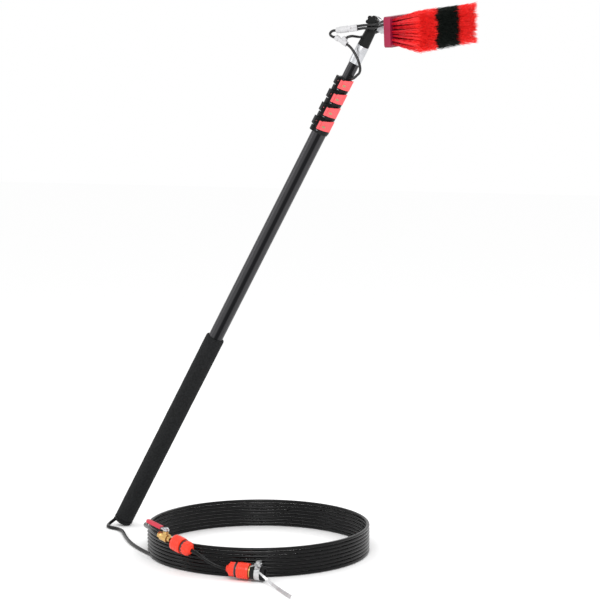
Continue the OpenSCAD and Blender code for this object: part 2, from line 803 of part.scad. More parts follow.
for (i = [1:sections]) section(i);
for (i = [2:sections]) glide_bush(i);
for (i = [1:sections - 1]) {
    clamp_collar(i);
    clamp_lever(i);
    clamp_fasteners(i);
}
foam_grip();
foot_cap();
hose_gland();
inner_hose();
neck_sleeve();
neck_fork();
hose_grommet();
tilt_knob();
pivot_bolt();
head_arm();
arm_tube();
brush_block();
bristles_near();
bristles_middle();
bristles_far();
jet_barbs();
block_screws();
feed_hoses();
hose_splitter();
hose_coupling();
jet_hoses();
pole_hose_run();
pole_hose_coil();
pole_hose_tail();
valve_body();
valve_spindle();
valve_lever();
lever_sleeve();
upper_core();
upper_collar();
upper_nut();
link_hose();
lower_nut();
lower_core();
lower_collar();
tap_nipple();
tap_socket();
hose_clamp();
wing_screw();
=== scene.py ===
"""Looks of a water-fed window cleaning pole: leaning pole, brush, hoses, coil and tap fittings.

Metres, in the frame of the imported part: +Z up, the pole leans towards +X, bristles point to +X.
"""
import json
import math
import random

import bpy
from mathutils import Matrix, Vector


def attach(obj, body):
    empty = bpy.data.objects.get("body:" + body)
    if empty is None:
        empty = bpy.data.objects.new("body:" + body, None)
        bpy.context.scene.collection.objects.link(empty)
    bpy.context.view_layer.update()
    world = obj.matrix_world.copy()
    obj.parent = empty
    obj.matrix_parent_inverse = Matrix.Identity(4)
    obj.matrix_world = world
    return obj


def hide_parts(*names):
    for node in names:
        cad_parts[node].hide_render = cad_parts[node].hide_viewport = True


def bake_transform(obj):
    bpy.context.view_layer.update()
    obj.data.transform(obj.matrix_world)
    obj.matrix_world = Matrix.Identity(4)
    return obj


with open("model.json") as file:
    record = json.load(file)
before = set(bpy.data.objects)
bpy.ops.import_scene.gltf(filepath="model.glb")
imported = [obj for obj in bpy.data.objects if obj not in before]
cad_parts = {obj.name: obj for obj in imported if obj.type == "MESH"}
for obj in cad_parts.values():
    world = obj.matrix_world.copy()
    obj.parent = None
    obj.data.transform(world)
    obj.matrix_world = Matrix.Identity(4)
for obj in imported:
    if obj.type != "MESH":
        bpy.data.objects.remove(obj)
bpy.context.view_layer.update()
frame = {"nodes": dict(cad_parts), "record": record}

BODY_OF = {node: body
           for body, nodes in frame["record"]["behaviour"]["bodies"].items() for node in nodes}
SLOT_OF = {part["node"]: part["material_slot"] for part in frame["record"]["subparts"]}

# ---------- sizes, as in the part ----------

LEAN = math.radians(29)
TUBE_R = 0.0175
FOOT_R = 0.023
CAP_ROUND = 0.010
SPIGOT_R = 0.0165
SPIGOT_TOP = 0.027
FOAM_START = 0.012
FOAM_END = 0.540
CLAMP_START = 1.098
CLAMP_PITCH = 0.035
SECTION_STEP = 0.00125
CLAMP_WALL = 0.003
LEVER_LOW = 0.0108
LEVER_H = 0.020
LEVER_WALL = 0.003
LEVER_GAP = 0.0006
RIVET_TURN = math.radians(-61)
# turn of the pole's painted dark reflection stripe, towards the camera
DARK_REFLECTION_TURN = math.radians(-63)
THIN_R = 0.0125
PIVOT_AT = 1.383
GROMMET_AT = 1.246
GROMMET_TURN = math.radians(-35)
ARM_REACH = 0.095
ARM_DROP = 0.014
BRUSH_ROLL = math.radians(5)
BLOCK_T = 0.015
BRISTLE_LEN = 0.073
BRISTLE_END = 0.175
BRISTLE_SPLIT = 0.073
BRISTLE_TOP = 0.027
SPLAY = 0.016
FILAMENT_R = 0.00048
CRIMP = 0.00105
CRIMP_SPANS = 9
TUFT_FILAMENTS = 36
TUFT_R = 0.0023
TUFT_OPENING = 0.070
TUFT_ROWS = 7
JETS_Y = (-0.100, 0.0, 0.100)
JET_Z = 0.019
COIL_CENTRE = Vector((0.405, -0.095, 0))
COIL_R = 0.254
HOSE_D = 0.008
JET_HOSE_D = 0.006
TURN_PITCH = 0.0082
TURNS = 8
LIE = TURN_PITCH / 2
RUN_TURN = 220
TAIL_TURN = 200
RAMP = (201, 219)
TURN_STATIONS = 68
BARB_BACK = 0.010
PORT_GAP = 0.0003
PORT_STRAIGHT = 0.005
PORT_SPREAD = 0.0033

# ---------- places ----------

FOOT = Vector((-(CAP_ROUND * math.sin(LEAN) + (FOOT_R - CAP_ROUND) * math.cos(LEAN)), 0,
               CAP_ROUND * (1 - math.cos(LEAN)) + (FOOT_R - CAP_ROUND) * math.sin(LEAN)))
POLE = Matrix.Translation(FOOT) @ Matrix.Rotation(LEAN, 4, "Y")


def on_axis(s):
    return POLE @ Vector((0, 0, s))


PIVOT = on_axis(PIVOT_AT)
BRUSH = (Matrix.Translation(PIVOT + Vector((ARM_REACH, 0, -ARM_DROP)))
         @ Matrix.Rotation(BRUSH_ROLL, 4, "X"))


def heading(turn, down):
    turn, down = math.radians(turn), math.radians(down)
    return Vector((math.cos(turn) * math.cos(down), math.sin(turn) * math.cos(down),
                   -math.sin(down)))


def along(point, turn, down):
    """A place whose +Z points along a heading."""
    return (Matrix.Translation(point) @ Matrix.Rotation(math.radians(turn), 4, "Z")
            @ Matrix.Rotation(math.radians(90 + down), 4, "Y"))


UPPER = along(Vector((0.345, -0.367, 0.065)), -14, 13)
LOWER = along(Vector((0.462, -0.368, 0.024)), 8, 3.5)


def upper_at(t):
    return UPPER @ Vector((0, 0, t))


def lower_at(t):
    return LOWER @ Vector((0, 0, t))


def coil_at(turn, z):
    angle = math.radians(turn)
    return COIL_CENTRE + Vector((COIL_R * math.cos(angle), COIL_R * math.sin(angle), z))


def vectors(points):
    return [Vector(p) for p in points]


def from_pivot(points):
    return [PIVOT + p for p in vectors(points)]


# ---------- camera ----------

camera = bpy.data.objects.new("camera", bpy.data.cameras.new("camera"))
bpy.context.scene.collection.objects.link(camera)
camera.location = (2.367, -4.0745, 1.0655)
camera.rotation_euler = (math.radians(90 - 6.18), 0, math.radians(25))
camera.data.lens = 116.6
camera.data.sensor_width = 36
camera.data.clip_end = 50
bpy.context.scene.camera = camera

# ---------- finishes ----------

FINISHES = {}
NOISE_SPAN = (0.3, 0.7)


class Finish:
    """A material under construction: its nodes, and the shader that they feed."""

    def __init__(self, name, colour, roughness, metallic=0.0):
        self.material = bpy.data.materials.new(name)
        self.material.use_nodes = True
        self.tree = self.material.node_tree
        self.shader = self.tree.nodes["Principled BSDF"]
        self.set("Base Color", (*colour, 1))
        self.set("Roughness", roughness)
        self.set("Metallic", metallic)
        self.colour = colour
        self.place = self.add("ShaderNodeTexCoord").outputs["Object"]
        FINISHES[name] = self

    def add(self, kind, **settings):
        node = self.tree.nodes.new(kind)
        for key, value in settings.items():
            setattr(node, key, value)
        return node

    def set(self, socket, value):
        self.shader.inputs[socket].default_value = value

    def link(self, source, target):
        self.tree.links.new(source, target)

    def turned_place(self, turn, stretch, start=(0, 0, 0)):
        """Object coordinates turned about Y and stretched, for grain that follows the pole."""
        mapping = self.add("ShaderNodeMapping")
        mapping.vector_type = "TEXTURE"
        mapping.inputs["Location"].default_value = start
        mapping.inputs["Rotation"].default_value = (0, turn, 0)
        mapping.inputs["Scale"].default_value = stretch
        self.link(self.place, mapping.inputs["Vector"])
        return mapping.outputs["Vector"]

    def maths(self, operation, first, second=0.0):
        node = self.add("ShaderNodeMath", operation=operation)
        for socket, value in zip(node.inputs, (first, second)):
            if isinstance(value, float):
                socket.default_value = value
            else:
                self.link(value, socket)
        return node.outputs["Value"]

    def noise(self, scale, detail=3.0, place=None):
        node = self.add("ShaderNodeTexNoise")
        node.inputs["Scale"].default_value = scale
        node.inputs["Detail"].default_value = detail
        node.inputs["Roughness"].default_value = 0.55
        self.link(place or self.place, node.inputs["Vector"])
        return node.outputs["Fac"]

    def cells(self, scale):
        node = self.add("ShaderNodeTexVoronoi")
        node.inputs["Scale"].default_value = scale
        self.link(self.place, node.inputs["Vector"])
        return node.outputs["Distance"]

    def tone(self, source, low, first, high, second):
        """Base colour that goes from one colour to another between two source values."""
        node = self.add("ShaderNodeValToRGB")
        for end, at, colour in zip(node.color_ramp.elements, (low, high), (first, second)):
            end.position = at
            end.color = (*colour, 1)
        self.link(source, node.inputs["Fac"])
        self.link(node.outputs["Color"], self.shader.inputs["Base Color"])

    def shade(self, source, dark, light):
        """Base colour that wanders between two tones of the same colour."""
        deeper, paler = [tuple(min(1, c * k) for c in self.colour) for k in (dark, light)]
        self.tone(source, NOISE_SPAN[0], deeper, NOISE_SPAN[1], paler)

    def spread(self, source, low, high, **settings):
        """Where a value lies between two others, from 0 to 1."""
        node = self.add("ShaderNodeMapRange", **settings)
        node.inputs["From Min"].default_value = low
        node.inputs["From Max"].default_value = high
        self.link(source, node.inputs["Value"])
        return node

    def polish(self, source, low, high):
        """Roughness that wanders between two values."""
        node = self.spread(source, *NOISE_SPAN)
        node.inputs["To Min"].default_value = low
        node.inputs["To Max"].default_value = high
        self.link(node.outputs["Result"], self.shader.inputs["Roughness"])

    def bump(self, source, height, strength=0.5):
        node = self.add("ShaderNodeBump")
        node.inputs["Strength"].default_value = strength
        node.inputs["Distance"].default_value = height
        self.link(source, node.inputs["Height"])
        self.link(node.outputs["Normal"], self.shader.inputs["Normal"])


def moulded(name, colour, roughness, gloss=0.5):
    """Injection-moulded plastic: fine grain, faint cloudy tone, uneven polish."""
    made = Finish(name, colour, roughness)
    made.shade(made.noise(28, 4), 0.86, 1.1)
    made.polish(made.noise(60), roughness - 0.06, roughness + 0.08)
    made.bump(made.noise(1400, 2), 0.00012, 0.35)
    made.set("Specular IOR Level", gloss)
    return made


def metal(name, colour, roughness, turn=0.0):
    """Bare metal with fine lines left by drawing or turning."""
    made = Finish(name, colour, roughness, 1.0)
    lines = made.noise(900, place=made.turned_place(turn, (1, 1, 25)))
    made.shade(made.noise(45, 4), 0.85, 1.08)
    made.polish(lines, roughness - 0.08, roughness + 0.12)
    made.bump(lines, 0.00006, 0.3)


def pole_metal():
    """Dark anodised tube: grain drawn along it, and a painted dark reflection stripe from end to
    end, on the side that faces the camera.
    """
    metal_tone, painted_reflection_tone = (0.060, 0.059, 0.062), (0.011, 0.011, 0.012)
    made = Finish("pole_metal", metal_tone, 0.36, 1.0)
    grain = made.noise(700, 4, place=made.turned_place(LEAN, (1, 1, 30)))
    made.polish(grain, 0.30, 0.44)
    made.bump(grain, 0.00005, 0.35)
    # painted reflection: a dark stripe along the tube, where the dark space between the lamps
    # would be mirrored
    across = made.add("ShaderNodeSeparateXYZ")
    made.link(made.turned_place(LEAN, (1, 1, 1), FOOT), across.inputs["Vector"])
    turn = made.maths("ARCTAN2", across.outputs["Y"], across.outputs["X"])
    away = made.maths("ABSOLUTE", made.maths("SUBTRACT", turn, DARK_REFLECTION_TURN))
    edge = made.spread(away, 0.14, 0.42, interpolation_type="SMOOTHSTEP")
    share = made.maths("MULTIPLY", edge.outputs["Result"], made.maths("ADD", grain, 0.5))
    made.tone(share, 0.0, painted_reflection_tone, 1.0, metal_tone)


def arm_metal():
    """The same tube metal, with its grain along the arm."""
    made = Finish("arm_metal", (0.045, 0.044, 0.046), 0.36, 1.0)
    grain = made.noise(700, 4, place=made.turned_place(0, (30, 1, 1)))
    made.shade(grain, 0.75, 1.3)
    made.bump(grain, 0.00005, 0.35)


def foam():
    """Closed-cell grip foam: matt, with open pores where it was cut."""
    made = Finish("foam", (0.0115, 0.012, 0.0125), 0.95)
    made.shade(made.noise(240, 5), 0.7, 1.5)
    made.bump(made.cells(900), 0.0005, 0.6)
    made.set("Sheen Weight", 0.03)
    made.set("Sheen Roughness", 0.6)
    made.set("Specular IOR Level", 0.08)


def rubber():
    """Matt moulded rubber with a fine leathery grain."""
    made = Finish("black_rubber", (0.007, 0.007, 0.0075), 0.58)
    made.shade(made.noise(90, 5), 0.7, 1.5)
    made.bump(made.noise(1500, 2), 0.0002, 0.4)
    made.set("Specular IOR Level", 0.14)


def hose_skin(name, colour, roughness, gloss):
    """Drawn hose: smooth, with slow changes in its polish."""
    made = Finish(name, colour, roughness)
    made.shade(made.noise(40, 4), 0.8, 1.3)
    made.polish(made.noise(22), roughness - 0.02, roughness + 0.05)
    made.bump(made.noise(12, 2), 0.00003, 0.05)
    made.set("Specular IOR Level", gloss)


def filament(name, shaded_root_colour, tips, gloss):
    """Crimped bristle: colour darkened towards the block end as painted shade, brighter at the
    flagged tips.
    """
    made = Finish(name, shaded_root_colour, 0.38)
    along = made.add("ShaderNodeSeparateXYZ")
    made.link(made.place, along.inputs["Vector"])
    # painted shade: the colour darkens from the tips towards the block, where the tufts crowd
    # together
    root_x = PIVOT.x + ARM_REACH + BLOCK_T
    share = made.spread(along.outputs["X"], root_x, root_x + BRISTLE_LEN)
    speckle = made.maths("MULTIPLY", made.maths("SUBTRACT", made.noise(420), 0.5), 1.3)
    share = made.maths("ADD", share.outputs["Result"], speckle)
    made.tone(share, 0.0, shaded_root_colour, 0.9, tips)
    made.polish(made.noise(900, 2), 0.30, 0.50)
    made.set("Specular IOR Level", gloss)
    made.bump(made.noise(2600, 1), 0.00008, 0.3)


pole_metal()
arm_metal()
foam()
rubber()
hose_skin("pole_hose", (0.0012, 0.0012, 0.0014), 0.24, 0.20)
hose_skin("jet_hose", (0.012, 0.012, 0.0125), 0.30, 0.34)
# the first colour of each bristle is painted shade at the block end
filament("red_filament", (0.50, 0.003, 0.018), (0.93, 0.026, 0.022), 0.4)
filament("black_filament", (0.003, 0.0035, 0.0035), (0.009, 0.012, 0.010), 0.15)
moulded("black_plastic", (0.0065, 0.007, 0.007), 0.42, gloss=0.16)
moulded("glide_plastic", (0.012, 0.012, 0.012), 0.50, gloss=0.2)
moulded("coral_plastic", (0.86, 0.100, 0.110), 0.33, gloss=0.35)
moulded("grey_plastic", (0.52, 0.53, 0.55), 0.36, gloss=0.4)
moulded("block_plastic", (0.25, 0.009, 0.040), 0.36, gloss=0.35)
moulded("white_plastic", (0.50, 0.50, 0.51), 0.34)
moulded("red_vinyl", (0.50, 0.013, 0.040), 0.30)
moulded("orange_plastic", (0.80, 0.034, 0.010), 0.34, gloss=0.45)
moulded("core_plastic", (0.075, 0.075, 0.08), 0.36).set("Metallic", 0.6)
moulded("rivet_beige", (0.34, 0.24, 0.13), 0.42, gloss=0.4)
metal("steel", (0.52, 0.52, 0.54), 0.26)
metal("zinc_steel", (0.60, 0.60, 0.61), 0.30)
metal("brass", (0.62, 0.40, 0.15), 0.28)
metal("bright_sleeve", (0.60, 0.61, 0.63), 0.34, turn=LEAN)

for node, piece in frame["nodes"].items():
    piece.data.materials.clear()
    piece.data.materials.append(FINISHES[SLOT_OF[node]].material)
frame["nodes"]["arm_tube"].data.materials[0] = FINISHES["arm_metal"].material

# ---------- hands ----------

MERGE = 0.00001


def clear():
    if bpy.context.object and bpy.context.object.mode != "OBJECT":
        bpy.ops.object.mode_set(mode="OBJECT")
    bpy.ops.object.select_all(action="DESELECT")


def take(piece):
    clear()
    piece.select_set(True)
    bpy.context.view_layer.objects.active = piece


def apply_all(piece):
    take(piece)
    for modifier in list(piece.modifiers):
        bpy.ops.object.modifier_apply(modifier=modifier.name)


def settle(piece, place):
    """Moves a finished shape to its place and leaves its object at the origin."""
    take(piece)
    piece.matrix_world = place
    bpy.ops.object.transform_apply(location=True, rotation=True, scale=True)
    return piece


def merged(piece):
    """Leaves a piece in edit mode, all selected, with its doubled points merged."""
    take(piece)
    bpy.ops.object.mode_set(mode="EDIT")
    bpy.ops.mesh.select_all(action="SELECT")
    bpy.ops.mesh.remove_doubles(threshold=MERGE)


def smooth(piece, angle=35):
    take(piece)
    bpy.ops.object.shade_smooth_by_angle(angle=math.radians(angle))


def paint(piece, finish):
    piece.data.materials.clear()
    piece.data.materials.append(FINISHES[finish].material)


def dress(piece, node, finish=None, rides=True):
    """Gives a piece the finish, slot and body of the CAD node that it belongs to."""
    slot = SLOT_OF[node]
    paint(piece, finish or slot)
    if rides:
        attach(piece, BODY_OF[node])
    return piece


def stand_for(piece, *nodes, finish=None, rides=True):
    dress(piece, nodes[0], finish, rides)
    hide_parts(*nodes)
    return piece


def copy_of(piece, name):
    twin = bpy.data.objects.new(name, piece.data.copy())
    bpy.context.scene.collection.objects.link(twin)
    return twin


def eased(node, width, segments=2):
    """The CAD piece again, with its edges broken as a moulding's are."""
    piece = copy_of(frame["nodes"][node], node + "_eased")
    merged(piece)
    bpy.ops.mesh.dissolve_limited(angle_limit=math.radians(2))
    bpy.ops.object.mode_set(mode="OBJECT")
    bevel = piece.modifiers.new("ease", "BEVEL")
    bevel.width = width
    bevel.segments = segments
    bevel.limit_method = "ANGLE"
    bevel.angle_limit = math.radians(35)
    apply_all(piece)
    smooth(piece)
    return stand_for(piece, node)


def turned(name, outline, place, steps):
    """Lathe work: an outline of (radius, height) points, spun about its own Z, then placed."""
    clear()
    bpy.ops.mesh.primitive_plane_add(size=0.001)
    piece = bpy.context.object
    piece.name = name
    bpy.ops.object.mode_set(mode="EDIT")
    bpy.ops.mesh.select_all(action="SELECT")
    bpy.ops.mesh.merge(type="CENTER")
    radius, height = outline[0]
    bpy.ops.transform.translate(value=(radius, 0, height))
    for following in outline[1:]:
        step = (following[0] - radius, 0, following[1] - height)
        bpy.ops.mesh.extrude_vertices_move(TRANSFORM_OT_translate={"value": step})
        radius, height = following
    bpy.ops.mesh.select_all(action="SELECT")
    bpy.ops.mesh.spin(steps=steps, angle=2 * math.pi, center=(0, 0, 0), axis=(0, 0, 1))
    bpy.ops.object.mode_set(mode="OBJECT")
    merged(piece)
    bpy.ops.mesh.normals_make_consistent(inside=False)
    bpy.ops.object.mode_set(mode="OBJECT")
    smooth(piece)
    return settle(piece, place)


def join(pieces, name):
    clear()
    for piece in pieces:
        piece.select_set(True)
    bpy.context.view_layer.objects.active = pieces[0]
    bpy.ops.object.join()
    pieces[0].name = name
    return pieces[0]


# ---------- hoses ----------


def hose(name, points, diameter, sides=4, fineness=4):
    """A round hose along a smooth line through its points."""
    curve = bpy.data.curves.new(name, "CURVE")
    curve.dimensions = "3D"
    curve.resolution_u = fineness
    spline = curve.splines.new("BEZIER")
    spline.bezier_points.add(len(points) - 1)
    for knot, point in zip(spline.bezier_points, points):
        knot.co = point
        knot.handle_left_type = knot.handle_right_type = "AUTO"
    curve.bevel_depth = diameter / 2
    curve.bevel_resolution = sides
    curve.use_fill_caps = True
    piece = bpy.data.objects.new(name, curve)
    bpy.context.scene.collection.objects.link(piece)
    return piece


def smoothed(points, per_span=6):
    """Points along a curve that passes through the given ones."""
    line = []
    for i in range(len(points) - 1):
        a, b = points[max(i - 1, 0)], points[i]
        c, d = points[i + 1], points[min(i + 2, len(points) - 1)]
        for k in range(per_span):
            t = k / per_span
            line.append(0.5 * (2 * b + (c - a) * t + (2 * a - 5 * b + 4 * c - d) * t * t
                               + (3 * b - a - 3 * c + d) * t ** 3))
    return line + [points[-1]]


def coil_height(turn):
    """Height of the hose: flat turns, each climbing to the next inside the ramp window."""
    height = LIE
    for level in range(1, TURNS):
        share = (turn - RAMP[0] - 360 * level) / (RAMP[1] - RAMP[0])
        share = min(max(share, 0), 1)
        height += TURN_PITCH * share * share * (3 - 2 * share)
    return height


FOOT_CORNER = on_axis(CAP_ROUND) - (FOOT_R - CAP_ROUND) * Vector((math.cos(LEAN), 0,
                                                                  -math.sin(LEAN)))
FOOT_HEADING = (235, 30)
GLAND_OUT = FOOT_CORNER + (CAP_ROUND + 0.005) * heading(*FOOT_HEADING)
FOOT_ROUTE = [
    (-0.0335, -0.0158, 0.0113), (-0.0358, -0.022, 0.0082), (-0.0363, -0.029, 0.0058),
    (-0.0345, -0.037, 0.0046), (-0.030, -0.0445, LIE), (-0.023, -0.050, LIE),
    (-0.014, -0.0535, LIE), (-0.004, -0.0565, LIE), (0.007, -0.0605, LIE),
    (0.018, -0.067, LIE), (0.029, -0.077, LIE), (0.042, -0.093, LIE), (0.060, -0.117, LIE),
    (0.082, -0.144, LIE), (0.106, -0.171, LIE), (0.131, -0.195, LIE), (0.157, -0.217, LIE),
    (0.183, -0.2365, LIE)]
TAIL_ROUTE = [
    (0.175, -0.213, 0.0655), (0.189, -0.246, 0.070), (0.210, -0.278, 0.0755),
    (0.233, -0.307, 0.0805), (0.255, -0.332, 0.083), (0.272, -0.347, 0.0823)]
LINK_ROUTE = [
    (0.392, -0.3775, 0.053), (0.404, -0.3785, 0.047), (0.415, -0.3775, 0.041),
    (0.4255, -0.3755, 0.0355), (0.437, -0.3728, 0.030), (0.449, -0.3702, 0.026)]
# from the brush pivot
RISER_ROUTE = [
    (-0.036, -0.018, -0.119), (-0.028, -0.024, -0.113), (-0.025, -0.028, -0.104),
    (-0.027, -0.030, -0.092), (-0.033, -0.030, -0.078), (-0.042, -0.030, -0.064),
    (-0.050, -0.030, -0.055)]
LOOP_ROUTE = [(-0.092, -0.030, -0.033), (-0.098, -0.030, -0.0265), (-0.093, -0.030, -0.0205)]
NEAR_JET = [
    (-0.018, -0.030, -0.0086), (-0.006, -0.0295, -0.008), (0.010, -0.031, -0.0075),
    (0.026, -0.046, -0.007), (0.038, -0.068, -0.007), (0.048, -0.088, -0.006),
    (0.060, -0.098, -0.003)]
MIDDLE_JET = [
    (-0.018, -0.030, -0.0152), (-0.006, -0.0295, -0.0148), (0.010, -0.029, -0.0145),
    (0.028, -0.024, -0.008), (0.042, -0.014, -0.002), (0.056, -0.005, 0.002)]
FAR_JET = [
    (-0.046, -0.025, -0.032), (-0.040, -0.010, -0.033), (-0.037, 0.006, -0.033),
    (-0.028, 0.018, -0.030), (-0.012, 0.025, -0.024), (0.006, 0.032, -0.016),
    (0.024, 0.048, -0.006), (0.038, 0.068, 0.004), (0.048, 0.086, 0.009),
    (0.060, 0.096, 0.012)]
COUPLING_A = Vector((-0.082, -0.030, -0.019))
COUPLING_B = Vector((-0.031, -0.030, -0.0135))
COUPLING_DOWN = -math.degrees(math.atan2(COUPLING_B.z - COUPLING_A.z,
                                         COUPLING_B.x - COUPLING_A.x))
SPLIT_A = Vector((-0.084, -0.030, -0.034))
SPLIT_B = Vector((-0.057, -0.030, -0.050))
SPLIT_PORT = Vector((-0.058, -0.030, -0.036))
SPLIT_MID = (SPLIT_A + SPLIT_B) / 2
PORT_DOWN = math.degrees(math.atan2(SPLIT_MID.z - SPLIT_PORT.z, SPLIT_PORT.x - SPLIT_MID.x))


def pole_hose():
    """From the foot over the floor, round eight turns and up to the valve."""
    wound = TAIL_TURN + 360 * TURNS - RUN_TURN
    stations = TURNS * TURN_STATIONS
    turns = [RUN_TURN + wound * i / stations for i in range(stations + 1)]
    line = ([GLAND_OUT] + vectors(FOOT_ROUTE)
            + [coil_at(turn, coil_height(turn)) for turn in turns]
            + vectors(TAIL_ROUTE) + [upper_at(-0.064)])
    piece = hose("pole_hose_whole", line, HOSE_D, fineness=2)
    stand_for(piece, "pole_hose_run", "pole_hose_coil", "pole_hose_tail")
    return piece, line


def link_hose():
    line = [upper_at(0.036)] + vectors(LINK_ROUTE) + [lower_at(0)]
    piece = hose("link_hose_bend", line, HOSE_D)
    stand_for(piece, "link_hose")
    return piece, line


def riser_hose():
    """Straight out of the pole's side, then up to the splitter."""
    start = on_axis(GROMMET_AT)
    out = (Matrix.Rotation(LEAN, 3, "Y") @ Matrix.Rotation(GROMMET_TURN, 3, "Z")
           @ Vector((1, 0, 0)))
    line = ([start + (THIN_R + 0.0022) * out, start + (THIN_R + 0.007) * out]
            + from_pivot(RISER_ROUTE + [SPLIT_B]))
    piece = hose("riser_hose", line, JET_HOSE_D, fineness=6)
    stand_for(piece, "feed_hoses")
    return piece, line


def loop_hose():
    line = from_pivot([SPLIT_A] + LOOP_ROUTE + [COUPLING_A])
    piece = hose("loop_hose", line, JET_HOSE_D, fineness=8)
    dress(piece, "feed_hoses")
    return piece, line


def coupling_port(side):
    """One of the coupling's two outlets, which lie across its end."""
    down = math.radians(COUPLING_DOWN)
    return COUPLING_B + side * PORT_SPREAD * Vector((-math.sin(down), 0, -math.cos(down)))


def jet_hose(name, port, way, route, y):
    """A mesh tube from a port, straight out along way and on to a barb of the block."""
    end = BRUSH @ Vector((-BARB_BACK, y, JET_Z)) - PIVOT
    start = [port + PORT_GAP * way, port + PORT_STRAIGHT * way]
    line = smoothed(from_pivot(start + vectors(route) + [end - Vector((0.014, 0, 0)), end]), 4)
    piece = hose(name, line, JET_HOSE_D, sides=3, fineness=1)
    take(piece)
    bpy.ops.object.convert(target="MESH")
    smooth(piece, 60)
    return piece, line


pole_line, pole_points = pole_hose()
link_line, link_points = link_hose()
riser, riser_points = riser_hose()
loop, loop_points = loop_hose()
near_jet, near_points = jet_hose("jet_hose_near", coupling_port(-1),
                                 heading(0, COUPLING_DOWN), NEAR_JET, JETS_Y[0])
middle_jet, middle_points = jet_hose("jet_hose_middle", coupling_port(1),
                                     heading(0, COUPLING_DOWN), MIDDLE_JET, JETS_Y[1])
far_jet, far_points = jet_hose("jet_hose_far", SPLIT_PORT,
                               heading(0, PORT_DOWN), FAR_JET, JETS_Y[2])
stand_for(near_jet, "jet_hoses", rides=False)
dress(middle_jet, "jet_hoses", rides=False)
dress(far_jet, "jet_hoses", rides=False)
for jet in (near_jet, middle_jet, far_jet):
    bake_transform(jet)

# ---------- grip, foot and gland ----------


def grip_foam():
    """A foam sleeve with rolled ends and the slight unevenness of cut foam."""
    inner, outer = TUBE_R + 0.0001, FOOT_R - 0.0002
    ring_gap = 0.004
    rings = int((FOAM_END - FOAM_START - 0.008) / ring_gap)
    outline = [(inner, FOAM_START + 0.0002), (outer - 0.0022, FOAM_START + 0.0002),
               (outer - 0.0008, FOAM_START + 0.0012)]
    outline += [(outer, FOAM_START + 0.004 + ring_gap * i) for i in range(rings + 1)]
    outline += [(outer - 0.0009, FOAM_END - 0.0014), (outer - 0.0026, FOAM_END - 0.0003),
                (inner + 0.001, FOAM_END), (inner, FOAM_END - 0.0006), outline[0]]
    piece = turned("grip_foam", outline, POLE, 72)
    lumps = bpy.data.textures.new("foam_lumps", "CLOUDS")
    lumps.noise_scale = 0.018
    lumps.noise_depth = 3
    push = piece.modifiers.new("lumps", "DISPLACE")
    push.texture = lumps
    push.texture_coords = "LOCAL"
    push.mid_level = 0.7
    push.strength = 0.0007
    apply_all(piece)
    smooth(piece, 50)
    stand_for(piece, "foam_grip")


def foot_cap():
    """A rubber foot: domed sole with two tread grooves, and a spigot up into the tube."""
    sole, groove = 0.0002, 0.0011
    outline = [(0, sole)]
    for inside in (0.0035, 0.0093):
        outline += [(inside, sole), (inside + 0.0005, groove), (inside + 0.0017, groove),
                    (inside + 0.0022, sole)]
    outline.append((FOOT_R - CAP_ROUND, 0))
    for i in range(1, 9):
        angle = math.radians(90 * i / 8)
        outline.append((FOOT_R - CAP_ROUND + CAP_ROUND * math.sin(angle),
                        CAP_ROUND - CAP_ROUND * math.cos(angle)))
    outline += [(FOOT_R, FOAM_START - 0.0007), (FOOT_R - 0.0006, FOAM_START),
                (TUBE_R, FOAM_START), (TUBE_R, 0.020), (SPIGOT_R, 0.020),
                (SPIGOT_R, SPIGOT_TOP), (0, SPIGOT_TOP)]
    stand_for(turned("foot_rubber", outline, POLE, 64), "foot_cap")


def foot_gland():
    """A tapered strain relief with three ribs, where the hose leaves the foot."""
    start, bore = CAP_ROUND - 0.0004, HOSE_D / 2 + 0.0001
    height = start + 0.0030
    outline = [(bore, start), (0.0056, start), (0.0056, height)]
    for rib in range(3):
        neck, crest = 0.0050 - 0.0002 * rib, 0.0053 - 0.0002 * rib
        outline += [(neck, height), (neck, height + 0.0004),
                    (crest, height + 0.0005), (crest, height + 0.0008)]
        height += 0.0009
    outline += [(bore, height), outline[0]]
    place = along(FOOT_CORNER, *FOOT_HEADING)
    stand_for(turned("foot_gland", outline, place, 32), "hose_gland")


grip_foam()
foot_cap()
foot_gland()

# ---------- clamps ----------


def rivet_pad(i):
    """The oval pad that shows where a lever's cam is riveted."""
    section_r = TUBE_R - (i - 1) * SECTION_STEP
    reach = section_r + CLAMP_WALL + LEVER_GAP + LEVER_WALL + 0.0008
    height = CLAMP_START + (i - 1) * CLAMP_PITCH + LEVER_LOW + LEVER_H / 2
    outline = [(0, -0.0006), (0.0034, -0.0006), (0.0034, 0.0003), (0.0030, 0.0007),
               (0.0016, 0.0008), (0.0013, 0.0004), (0, 0.0003)]
    place = (POLE @ Matrix.Translation((0, 0, height)) @ Matrix.Rotation(RIVET_TURN, 4, "Z")
             @ Matrix.Translation((reach, 0, 0)) @ Matrix.Rotation(math.radians(90), 4, "Y")
             @ Matrix.Diagonal((0.85, 1.2, 1, 1)))
    piece = turned(f"rivet_pad_{i}", outline, place, 24)
    dress(piece, f"clamp_lever_{i}", finish="rivet_beige")


for i in range(1, 5):
    eased(f"clamp_collar_{i}", 0.0007)
    eased(f"clamp_lever_{i}", 0.0010, segments=3)
    rivet_pad(i)

# ---------- neck, knob, arm and block ----------

eased("neck_sleeve", 0.0006)
eased("neck_fork", 0.0010, segments=3)
eased("hose_grommet", 0.0004)
eased("tilt_knob", 0.0012, segments=3)
eased("head_arm", 0.0012, segments=3)
eased("brush_block", 0.0022, segments=3)
eased("jet_barbs", 0.0005)
eased("block_screws", 0.0004)
splitter = eased("hose_splitter", 0.0008)
coupling = eased("hose_coupling", 0.0008)

# ---------- bristles ----------


